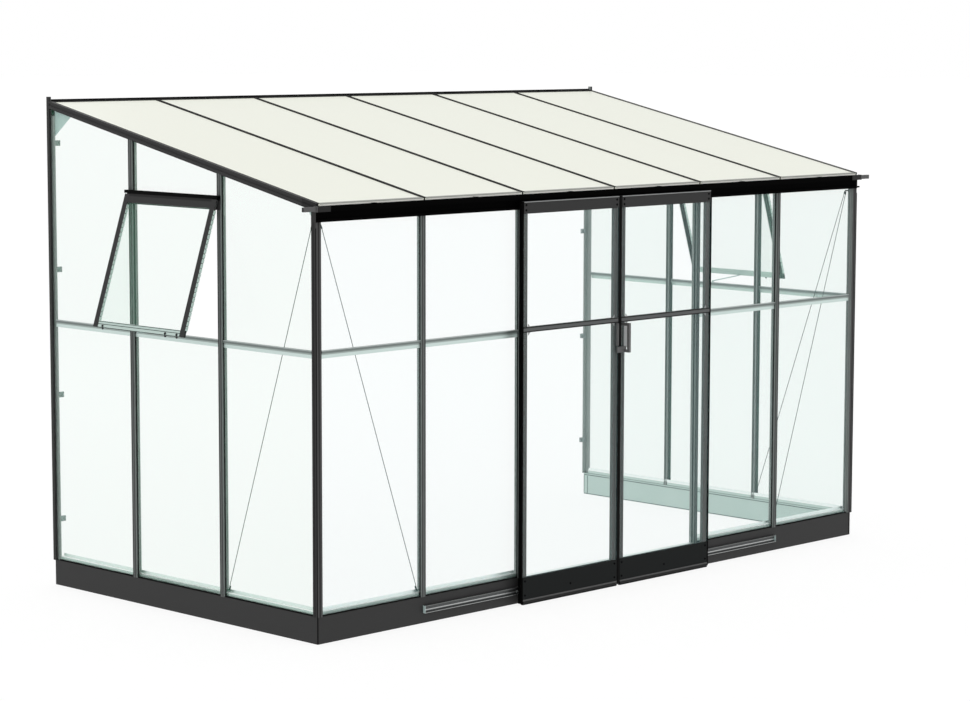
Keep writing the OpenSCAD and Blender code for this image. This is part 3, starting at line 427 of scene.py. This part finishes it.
# Sill upstands: the back leg of each sill, bright aluminium, stands 12 mm higher behind the glass. Across the
# doorway, where the sill is left off, a plain plate of the same metal is screwed down as the threshold.
glass_t = 0.004
leg_t, leg_h, leg_off = 0.0015, 0.012, 0.034
leg = [(0, 0), (leg_t, 0), (leg_t, leg_h), (0, leg_h)]
leg_y = sill[1][1] - leg_t
leg_x = glass_x - glass_t - (sill[1][1] - sill[0][1]) - near / 2
runs = [straight_run(leg, row(s * (pitch + cap_w / 2), leg_y, sill_top),
                     row(s * (posts[1][0] - leg_off), leg_y, sill_top), (0, 1, 0), (0, 0, 1)) for s in both]
runs += [straight_run(leg, row(s * leg_x, posts[0][1] + leg_off, sill_top),
                      row(s * leg_x, base_side[1][1] - leg_off - near, sill_top),
                      (s, 0, 0), (0, 0, 1)) for s in both]
tread_w, tread_t, tread_short = 0.028, 0.0012, 0.012
tread = [(0, 0), (tread_w, 0), (tread_w - near, tread_t), (near, tread_t)]
tread_ends = [row(s * (pitch - tread_short), base_front[0][1] + near, base_top) for s in both]
runs.append(straight_run(tread, *tread_ends, (0, 1, 0), (0, 0, 1)))
bright = mill_aluminium("bright_anodised_aluminium", ("#E2ECE9", "#F4FAF8"), (0.3, 0.4))
dress("sill_upstands", joined(runs), bright)

# Eave: an aluminium beam, coated, carries the roof and the black fascia with the door track. The black gutter is
# clipped in front of it, with straps over its mouth in the middle of each bay.
frame_coat = powder_coat("dark_grey_powder_coat", ("#222222", "#282828"), (0.5, 0.6), 0.25)
finish_node(frame_coat, "eave_beam")
black_coat = powder_coat("black_powder_coat", ("#020202", "#040404"), (0.55, 0.65), 0.01)
finish_node(black_coat, "gutter", "door_track")
gutter = corners("gutter")
strap_w, strap_t = 0.020, 0.0015
strap = [(-strap_w / 2, 0), (strap_w / 2, 0), (strap_w / 2, strap_t), (-strap_w / 2, strap_t)]
mouth = [row(pitch * np.arange(-2.5, 3.0), y, gutter[1][2]) for y in (gutter[0][1], gutter[1][1])]
dress("gutter_straps", straight_run(strap, *mouth, (1, 0, 0), (0, 0, 1)), black_coat)

# Outlets: moulded grey PVC, matt, with the fine spark-eroded grain of the mould. They are pushed into the two
# ends of the gutter, and the sleeve that lies in the gutter is painted black, as painted shade inside the gutter.
pvc, tree, place, surface = material("grey_moulded_pvc")
grain = add(tree, "ShaderNodeTexNoise", {"Vector": place, "Scale": 1 / 0.003, "Detail": 3.0}).outputs["Fac"]
tree.links.new(add(tree, "ShaderNodeBsdfPrincipled", {
    "Base Color": shaded(tree, place, grain, ("#4A4A4A", "#525252"), [
        ("X", 0.0, gutter[1][0] + near / 2, ("#020202", "#060606"))]),
    "Roughness": 0.55, "Specular IOR Level": 0.3,
    "Normal": add(tree, "ShaderNodeBump", {"Height": grain, "Strength": 0.1, "Distance": 0.0003}).outputs[0],
}).outputs[0], surface)
finish_node(pvc, "gutter_outlets")

# Roof frame: end rafters, bars and a wall plate in coated aluminium, bolted to the eave beam and the wall posts.
# The feet of the rafters are black like the fascia beside them. A grey rubber seal lies under each end rafter,
# on the upper edge of the glass.
foot_l = 0.09
finish_node(powder_coat("rafter_coat", ("#222222", "#282828"), (0.5, 0.6), 0.25, [
    ("Y", rafter[0][1] - past, rafter[0][1] + foot_l, ("#0A0A0A", "#0E0E0E"))]), "rafters")
finish_node(powder_coat("roof_bar_coat", ("#0A0A0A", "#101010"), (0.5, 0.6), 0.03), "roof_bars")
finish_node(powder_coat("wall_plate_coat", ("#0A0A0A", "#101010"), (0.55, 0.65), 0.05), "wall_plate")
head = [(0, 0), (0.006, 0.001), (0.006, 0.007), (0, 0.007)]
head_low, head_y = 0.0395, (rafter[0][1] + 0.05, wall[0][1] - 0.0055)
runs = []
for s in both:
    ends = [row(s * glass_x, y, eave_z + slope * (y - rafter[0][1]) - head_low) for y in head_y]
    runs.append(straight_run(head, *ends, (s, 0, 0), (0, 0, 1)))
# The seal is dusted with talc, so it has the even grey satin of a coat.
seal_grey = powder_coat("gable_head_seal", ("#343434", "#3C3C3C"), (0.6, 0.7), 0.1)
dress("gable_head_seals", joined(runs), seal_grey)

# Roof cap screws: low domed heads of blackened zinc steel, five along each roof bar. They hold the flat cap of
# the bar down on the roof sheets.


def screw_heads(places, out, radius, rise):
    """Low domed heads: a ring of ten points follows the outline of the head, distance from its middle against
    rise, and dips into the socket at the end."""
    outline = np.array([(1.0, 0.0), (0.97, 0.45), (0.72, 0.9), (0.45, 1.0), (0.38, 0.55)])
    out = np.asarray(out, float) / np.linalg.norm(out)
    across = np.cross(out, (0.0, 1.0, 0.0) if abs(out[2]) > 0.7 else (0.0, 0.0, 1.0))
    across /= np.linalg.norm(across)
    turn = np.linspace(0, 2 * np.pi, 10, endpoint=False)[:, None]
    ring = np.cos(turn) * across + np.sin(turn) * np.cross(out, across)
    rings = radius * outline[:, :1, None] * ring + rise * outline[:, 1:, None] * out
    return skin(np.asarray(places, float)[:, None, None, :] + rings)


def galvanised(name, shades, rough, metallic):
    """Zinc coated steel: crystals of about 12 mm, each its own shade between two, and its own gloss."""
    made, tree, place, surface = material(name)
    crystal = add(tree, "ShaderNodeTexVoronoi", {"Vector": place, "Scale": 1 / 0.012}).outputs["Color"]
    tone = add(tree, "ShaderNodeSeparateColor", {0: crystal}).outputs[0]
    tree.links.new(add(tree, "ShaderNodeBsdfPrincipled", {
        "Base Color": shaded(tree, place, tone, shades), "Metallic": metallic,
        "Roughness": add(tree, "ShaderNodeMapRange", {
            "Value": tone, "To Min": rough[0], "To Max": rough[1]}).outputs[0],
    }).outputs[0], surface)
    return made


dark_zinc = galvanised("blackened_zinc_steel", ("#202122", "#303132"), (0.45, 0.6), 0.6)
bars = corners("roof_bars")
up_roof = np.array([0.0, -slope, 1.0]) / math.hypot(slope, 1.0)
screws, screw_low, screw_high, screw_r, screw_rise = 5, 0.06, 0.12, 0.005, 0.002
x, y = (v.ravel() for v in np.meshgrid(pitch * np.arange(-2.0, 3.0),
                                       np.linspace(bars[0][1] + screw_low, bars[1][1] - screw_high, screws)))
heads = screw_heads(row(x, y, bars[1][2] + slope * (y - bars[1][1])), up_roof, screw_r, screw_rise)
dress("roof_cap_screws", heads, dark_zinc)

# Roof: six sheets of opal twin-wall polycarbonate between the bars, extruded and milky. Inside ribs every 16 mm
# run down the slope and show as faint lines; a bare aluminium strip closes the lower edge of each sheet.
opal, tree, place, surface = material("opal_twin_wall_polycarbonate")
rib_pitch = 0.016
across = add(tree, "ShaderNodeSeparateXYZ", {0: place}).outputs["X"]
wave = add(tree, "ShaderNodeMath", {0: across, 1: 2 * math.pi / rib_pitch}, operation="MULTIPLY").outputs[0]
rib = add(tree, "ShaderNodeMath", {0: wave}, operation="COSINE").outputs[0]
rib = add(tree, "ShaderNodeMath", {0: rib, 1: 8.0}, operation="POWER").outputs[0]
milky = add(tree, "ShaderNodeTexNoise", {"Vector": place, "Scale": 1 / 0.4, "Detail": 3.0}).outputs["Fac"]
ribbed = add(tree, "ShaderNodeMix", {"Factor": rib, 6: shaded(tree, place, milky, ("#E4E6D9", "#E8EADD")),
                                     7: linear("#E1E3D7")}, data_type="RGBA").outputs[2]
tree.links.new(add(tree, "ShaderNodeBsdfPrincipled", {
    "Base Color": ribbed, "Specular IOR Level": 0.3, "IOR": 1.58,
    "Roughness": add(tree, "ShaderNodeMapRange", {"Value": milky, "To Min": 0.3, "To Max": 0.4}).outputs[0],
    "Normal": add(tree, "ShaderNodeBump", {"Height": rib, "Strength": 0.05, "Distance": 0.0005}).outputs[0],
}).outputs[0], surface)
finish_node(opal, "roof_panes")
strip = corners("roof_edge_strips")
# Painted shade: the upper part of each strip is painted darker than the rest.
shade_share = 0.45
shade_low = strip[1][2] - shade_share * (strip[1][2] - strip[0][2])
finish_node(mill_aluminium("edge_strip_aluminium", ("#E6E6E0", "#F2F2EC"), (0.4, 0.5), [
    ("Z", shade_low, strip[1][2] + past, ("#8C8E88", "#A0A29C"))]), "roof_edge_strips")

# Steel fittings: lugs for the wall screws, corner gussets, and in each gable a small plate behind the glass at
# the eave, all zinc coated and bolted on. The stays of the vents have the same pale zinc as the gussets.
finish_node(galvanised("wall_lug_zinc", ("#7A8282", "#A6AEAE"), (0.45, 0.6), 0.5), "wall_brackets")
pale_zinc = galvanised("gusset_zinc", ("#B2C6C4", "#BED0CE"), (0.5, 0.6), 0.3)
finish_node(pale_zinc, "gusset_plates", "vent_stays")
corner_l, corner_h, corner_t = 0.036, 0.045, 0.002
corner = [(0, 0), (corner_l, 0), (0, -corner_h)]
corner_x, corner_z = glass_x - glass_t - near / 2, corners("door_track")[1][2]
plates = [straight_run(corner, row(s * corner_x, post_in_y, corner_z),
                       row(s * (corner_x - corner_t), post_in_y, corner_z), (0, 1, 0), (0, 0, 1)) for s in both]
dress("eave_corner_plates", joined(plates), pale_zinc)

# Brace wires: steel, drawn taut between two anchors from the head of a corner post to the foot of the next bar,
# with a crimped sleeve of the same dark zinc at each end.
finish_node(dark_zinc, "brace_wires")
wires = corners("brace_wires")
anchor_r, post_anchor, bar_anchor = 0.0025, 0.024, 0.010
sleeve_r, sleeve_l, sleeve_gap = 0.003, 0.018, 0.004
outline = np.array([(0.6, 0.0), (1.0, 0.15), (1.0, 0.85), (0.6, 1.0)]) * (sleeve_r, sleeve_l)
high, low = wires[1][2] - anchor_r, wires[0][2] + anchor_r
front_y, side_x = wires[0][1] + anchor_r, wires[1][0] - anchor_r
bar_face = cap_w / 2 + near / 2
sleeves = []
for s in both:
    front = [(s * (post_in_x - post_anchor), front_y, high),
             (s * (2 * pitch + bar_face + bar_anchor), front_y, low), (0, 1, 0)]
    gable = [(s * side_x, post_in_y + post_anchor, high),
             (s * side_x, side_bars[0] - bar_face - bar_anchor, low), (1, 0, 0)]
    for start, end, deep in np.array([front, gable]):
        run = (end - start) / np.linalg.norm(end - start)
        ring = circle[:, :1] * deep + circle[:, 1:] * np.cross(run, deep)
        rings = outline[:, :1, None] * ring + outline[:, 1:, None] * run
        sleeves.append(np.stack([start + sleeve_gap * run + rings, end - (sleeve_l + sleeve_gap) * run + rings]))
dress("wire_sleeves", skin(np.concatenate(sleeves)), dark_zinc)

# Glass: clear toughened float panes, 4 mm, held by the bars, with a faint green cast and a slight waviness from
# the furnace rollers. The doors have the same glass as the front.


def toughened_glass(name, tints, cover):
    """Clear float glass: two close tints drift over about 250 mm with the waviness of the furnace rollers, and
    each face covers the share of what lies behind it that gives the pane its cast."""
    made, tree, place, surface = material(name)
    roller = add(tree, "ShaderNodeTexNoise", {"Vector": place, "Scale": 1 / 0.25, "Detail": 1.0}).outputs["Fac"]
    tree.links.new(add(tree, "ShaderNodeBsdfPrincipled", {
        "Base Color": shaded(tree, place, roller, tints), "Roughness": 0.06, "IOR": 1.52, "Alpha": cover,
        "Normal": add(tree, "ShaderNodeBump", {"Height": roller, "Strength": 0.02, "Distance": 0.002}).outputs[0],
    }).outputs[0], surface)
    return made


finish_node(toughened_glass("front_toughened_glass", ("#AEDAD7", "#B2DCD9"), 0.055),
            "front_panes", "left_door_panes", "right_door_panes")
finish_node(toughened_glass("gable_toughened_glass", ("#8ACFAF", "#8FD2B4"), 0.063), "gable_panes", "vent_panes")

# Vents: a hinged sash in each gable, propped open by a stay. The header has a black hood over the hinge; stiles
# and top rail are coated, and the top of the top rail, under the hood, is painted black as the hood's shade. The
# bottom rail is bare aluminium with grooves and black bolts, and a pale bead of short pads lines the stiles.
header, sash = corners("vent_headers"), corners("vent_stiles")
hood_h, hinge_h, hinge_in, hinge_low = 0.022, 0.027, 0.008, 0.009
hood_black_and_painted_shade = ("#020202", "#050505")
finish_node(powder_coat("vent_header_coat", ("#303030", "#363636"), (0.5, 0.6), 0.03, [
    ("Z", header[1][2] - hood_h, header[1][2] + past, hood_black_and_painted_shade)]), "vent_headers")
finish_node(frame_coat, "vent_stiles")
# Painted shade: the top of the sash's top rail, under the hood, is black.
finish_node(powder_coat("vent_top_rail_coat", ("#222222", "#282828"), (0.5, 0.6), 0.25, [
    ("Z", header[1][2] - hinge_h, header[1][2], hood_black_and_painted_shade)]), "vent_top_rails")
rail_aluminium = mill_aluminium("vent_rail_aluminium", ("#B0C2BC", "#C6D6D0"), (0.4, 0.5))
finish_node(rail_aluminium, "vent_bottom_rails")
vent_angle = math.radians(18.0)
hinge_z = header[1][2] - hinge_low
sash_l = (hinge_z - sash[0][2]) / math.cos(vent_angle)
vent_stile_w, rail_out = 0.032, 0.004
rail_from, rail_to = sash[0][1] + vent_stile_w, sash[1][1] - vent_stile_w
flanks = ((sash[0][1], -1), (rail_from, 1), (rail_to, -1), (sash[1][1], 1))
pad = [(-0.0090, 0), (0.0048, 0), (0.0040, 0.0012), (-0.0080, 0.0012)]
pad_l, pad_pitch, pad_first, pad_last = 0.019, 0.022, 0.06, 0.04
groove_w, groove_t = 0.0024, 0.0005
groove = [(-groove_w / 2, 0), (groove_w / 2, 0), (groove_w / 2, groove_t), (-groove_w / 2, groove_t)]
grooves_up = np.array([0.0285, 0.017, 0.002])[:, None]
bolts_up, bolts_y = 0.009, np.array([rail_to - 0.035, rail_from + 0.10, rail_from + 0.02])
bolt_r, bolt_rise, nut_r, nut_rise = 0.006, 0.004, 0.005, 0.007
pads, grooves, bolts = [], [], []
for s in both:
    out = np.array([s * math.cos(vent_angle), 0.0, math.sin(vent_angle)])
    down = np.array([s * math.sin(vent_angle), 0.0, -math.cos(vent_angle)])
    hinge = np.array([s * (header[1][0] - hinge_in), 0.0, hinge_z])
    steps = hinge + np.arange(pad_first, sash_l - pad_last, pad_pitch)[:, None] * down
    pads += [straight_run(pad, steps + (0, y, 0), steps + (0, y, 0) + pad_l * down, out, (0, way, 0))
             for y, way in flanks]
    rail = hinge + (sash_l - grooves_up) * down + rail_out * out
    grooves.append(straight_run(groove, rail + (0, rail_from, 0), rail + (0, rail_to, 0), down, out))
    spots = hinge + (sash_l - bolts_up) * down + row(0, bolts_y, 0)
    bolts.append(screw_heads(spots + rail_out * out, out, bolt_r, bolt_rise))
    bolts.append(screw_heads(spots + bolts_up * down, down, nut_r, nut_rise))
dress("vent_side_beads", joined(pads), rail_aluminium)
dress("vent_rail_grooves", joined(grooves), rubber)
dress("vent_rail_bolts", joined(bolts), dark_zinc)

# Doors: two sliding leaves. Stiles and rails are coated tube; the glass and the black kick panel are screwed on
# in front, with soft seals down both edges and cleats at the middle rail. A grey channel stiffens the foot of the
# kick panel, a drip sheds rain from the head, and a brush closes the gap to the ground.
kick = corners("right_door_kick_panel")
meet = corners("right_door_stiles")[0][0]
stile_shades, middle, painted_groove_shade = ("#3F3B3A", "#4B4746"), ("#4A4C4C", "#565858"), ("#0A0A0A", "#0E0E0E")
mid_low, mid_high, groove_h = strip_top - 0.009, strip_top + 0.016, 0.0055
stile_lip, slot_from, slot_to, seal_in = meet + 0.0035, meet + 0.0115, meet + 0.0155, meet + 0.008
kick_coat = powder_coat("kick_panel_coat", ("#171919", "#1B1D1D"), (0.5, 0.6), 0.05)
# Painted shade: the slot in each stile, its meeting edge and the grooves along the middle rail are dark.
stile_coat = powder_coat("door_stile_coat", stile_shades, (0.45, 0.55), 0.3, [
    ("X", slot_from, slot_to, ("#101212", "#141616")), ("X", 0.0, stile_lip, ("#101010", "#161616"))])
rail_coat = powder_coat("door_rail_coat", ("#202020", "#262626"), (0.5, 0.6), 0.25, [
    ("Z", mid_low - past, mid_high + past, middle),
    ("Z", mid_low - near, mid_low + groove_h, painted_groove_shade), ("Z", mid_high - groove_h, mid_high + near, painted_groove_shade),
    ("Z", 0.0, kick[0][2] + near / 2, ("#020202", "#040404"))])
foot_coat = powder_coat("kick_foot_coat", ("#444444", "#4C4C4C"), (0.45, 0.55), 0.3)
head_coat = mill_aluminium("head_drip_aluminium", ("#8A8C8C", "#9A9C9C"), (0.4, 0.5))
seal = epdm("door_edge_epdm", ("#020202", "#060606"), 0.02, [("X", 0.0, seal_in, ("#121212", "#1C1C1C"))])
foot_channel = [(0, 0), (0.002, 0.0006), (0.002, 0.0074), (0, 0.008)]
drip, drip_low = [(0, 0), (0.0016, 0.0004), (0.0016, 0.0036), (0, 0.004)], 0.0045
rail_screw_r, kick_screw_r, door_screw_rise = 0.0055, 0.005, 0.0025
rail_screws_down, kick_screw_up, kick_screw_down, kick_middle_up = (0.040, 0.016), 0.027, 0.018, 0.042
stile_w, cleat_l, cleat_t = 0.028, 0.015, 0.0014
cleat = [(0, 0), (cleat_l, 0), (0, cleat_l)]
brush_w, brush_h, brush_taper = 0.018, 0.0070, 0.002
brush = [(0, 0), (brush_w, 0), (brush_w - brush_taper, -brush_h), (brush_taper, -brush_h)]
for leaf in ("left_door", "right_door"):
    finish_node(stile_coat, leaf + "_stiles")
    finish_node(rail_coat, leaf + "_rails")
    finish_node(kick_coat, leaf + "_kick_panel")
    finish_node(seal, leaf + "_seals")
    panel, panes = corners(leaf + "_kick_panel"), corners(leaf + "_panes")
    rails, stiles = corners(leaf + "_rails"), corners(leaf + "_stiles")
    foot_z, panel_z, head_z = panel[0][2], panel[1][2], rails[1][2]
    front, glass = panel[0][1], panes[0][1]
    ends = [row(x, front, foot_z) for x in panel[:, 0]]
    dress(leaf + "_kick_foot", straight_run(foot_channel, *ends, (0, -1, 0), (0, 0, 1)),
          foot_coat, leaf)
    ends = [row(x, front, head_z - drip_low) for x in rails[:, 0]]
    dress(leaf + "_head_drip", straight_run(drip, *ends, (0, -1, 0), (0, 0, 1)),
          head_coat, leaf)
    # Two screws at each end of the head rail, two at each end of the kick panel, and one in its middle.
    ends = stiles[:, 0] + (stile_w / 2, -stile_w / 2)
    heads = [screw_heads(row(ends, front, z), (0, -1, 0), rail_screw_r, door_screw_rise)
             for z in head_z - np.array(rail_screws_down)]
    heads += [screw_heads(row(at, front, z), (0, -1, 0), kick_screw_r, door_screw_rise)
              for at, z in ((ends, foot_z + kick_screw_up), (ends, panel_z - kick_screw_down),
                            (ends.mean(), foot_z + kick_middle_up))]
    dress(leaf + "_screws", joined(heads), black_coat, leaf)
    # Cleats: small aluminium corners above and below the middle rail, riveted to both stiles over the glass.
    cleats = [straight_run(cleat, row(x, glass, z), row(x, glass - cleat_t, z), (way, 0, 0), (0, 0, rise))
              for x, way in ((stiles[0][0] + stile_w, 1), (stiles[1][0] - stile_w, -1))
              for z, rise in ((mid_high, 1), (mid_low, -1))]
    dress(leaf + "_rail_cleats", joined(cleats), head_coat, leaf)
    # Brush: black bristles set in the underside of the low rail.
    ends = [row(x, rails[0][1] + near, rails[0][2] + near / 2) for x in rails[:, 0]]
    dress(leaf + "_foot_brush", straight_run(brush, *ends, (0, 1, 0), (0, 0, 1)), rubber, leaf)

# Handle and pull: die-cast grips in a lighter satin coat, screwed to the meeting stiles; the latch arm crosses
# from the right leaf to the left one. A thin aluminium finger plate is glued to the glass beside the handle.
grip_coat = powder_coat("grip_satin_coat", ("#4E4E4E", "#5A5A5A"), (0.35, 0.45), 0.4)
finish_node(grip_coat, "right_door_handle", "left_door_pull")
grip = corners("right_door_handle")
plate_w, plate_t, plate_low, plate_high = 0.026, 0.0012, 0.020, 0.008
plate = [(0, 0), (plate_w, 0), (plate_w - plate_t, plate_t), (plate_t, plate_t)]
plate_ends = [row(grip[1][0] + near, grip[1][1], z) for z in (grip[0][2] + plate_low, grip[1][2] - plate_high)]
dress("right_door_finger_plate", straight_run(plate, *plate_ends, (1, 0, 0), (0, -1, 0)),
      head_coat, "right_door")

# Runners: the rollers in the track and the shoes in the guide rail are white nylon. They are turned and left
# plain, so the white is a little uneven and has a waxy half gloss.
nylon, tree, place, surface = material("white_nylon")
tone = add(tree, "ShaderNodeTexNoise", {"Vector": place, "Scale": 1 / 0.01, "Detail": 2.0}).outputs["Fac"]
tree.links.new(add(tree, "ShaderNodeBsdfPrincipled", {
    "Base Color": shaded(tree, place, tone, ("#D2D2CC", "#DCDCD6")), "Roughness": 0.45, "IOR": 1.53,
}).outputs[0], surface)
finish_node(nylon, "left_door_runners", "right_door_runners")

# Guide rail: a bare aluminium channel screwed to the face of the base; the shoes of the doors run in it. A bright
# wear strip lies along its floor, and zinc caps close its two ends.
guide = corners("door_guide_rail")
guide_t = 0.003
# Painted light and shade: the channel is dark inside, its front faces lighter, and its lower lip lightest.
finish_node(mill_aluminium("guide_rail_aluminium", ("#444646", "#5E6060"), (0.4, 0.5), [
    ("Y", guide[0][1] - past, guide[0][1] + guide_t, ("#5E6060", "#868888")),
    ("Z", guide[0][2] - near, guide[0][2] + guide_t, ("#7A7C7C", "#B4B6B6"))]), "door_guide_rail")
guide_end, guide_deep = guide[1][0], guide[1][1] - guide[0][1]
wear_w, wear_top, wear_t, wear_drop = 0.0060, 0.0048, 0.0008, 0.004
guide_floor, wear_z = guide[1][1] - guide_t, (guide[0][2] + guide[1][2]) / 2 - wear_drop
wear = [(-wear_w / 2, 0), (wear_w / 2, 0), (wear_top / 2, wear_t), (-wear_top / 2, wear_t)]
wear_metal = mill_aluminium("wear_strip_aluminium", ("#A8AAAA", "#C4C6C6"), (0.35, 0.45))
wear_ends = [row(s * guide_end, guide_floor, wear_z) for s in both]
dress("guide_wear_strip", straight_run(wear, *wear_ends, (0, 0, 1), (0, -1, 0)), wear_metal)
cap_t = 0.0015
cap = [(0, 0), (guide_deep, 0), (guide_deep - near, cap_t), (near, cap_t)]
end_caps = [straight_run(cap, row(s * guide_end, guide[1][1], guide[0][2]),
                         row(s * guide_end, guide[1][1], guide[1][2]), (0, -1, 0), (s, 0, 0)) for s in both]
dress("guide_end_caps", joined(end_caps), pale_zinc)
guide_holes, guide_screw_r, guide_screw_rise = np.array([-0.15, -0.65, 0.15, 0.65]), 0.0068, 0.0010
heads = screw_heads(row(guide_holes, guide_floor - wear_t, wear_z), (0, -1, 0), guide_screw_r, guide_screw_rise)
dress("guide_screws", heads, bright)
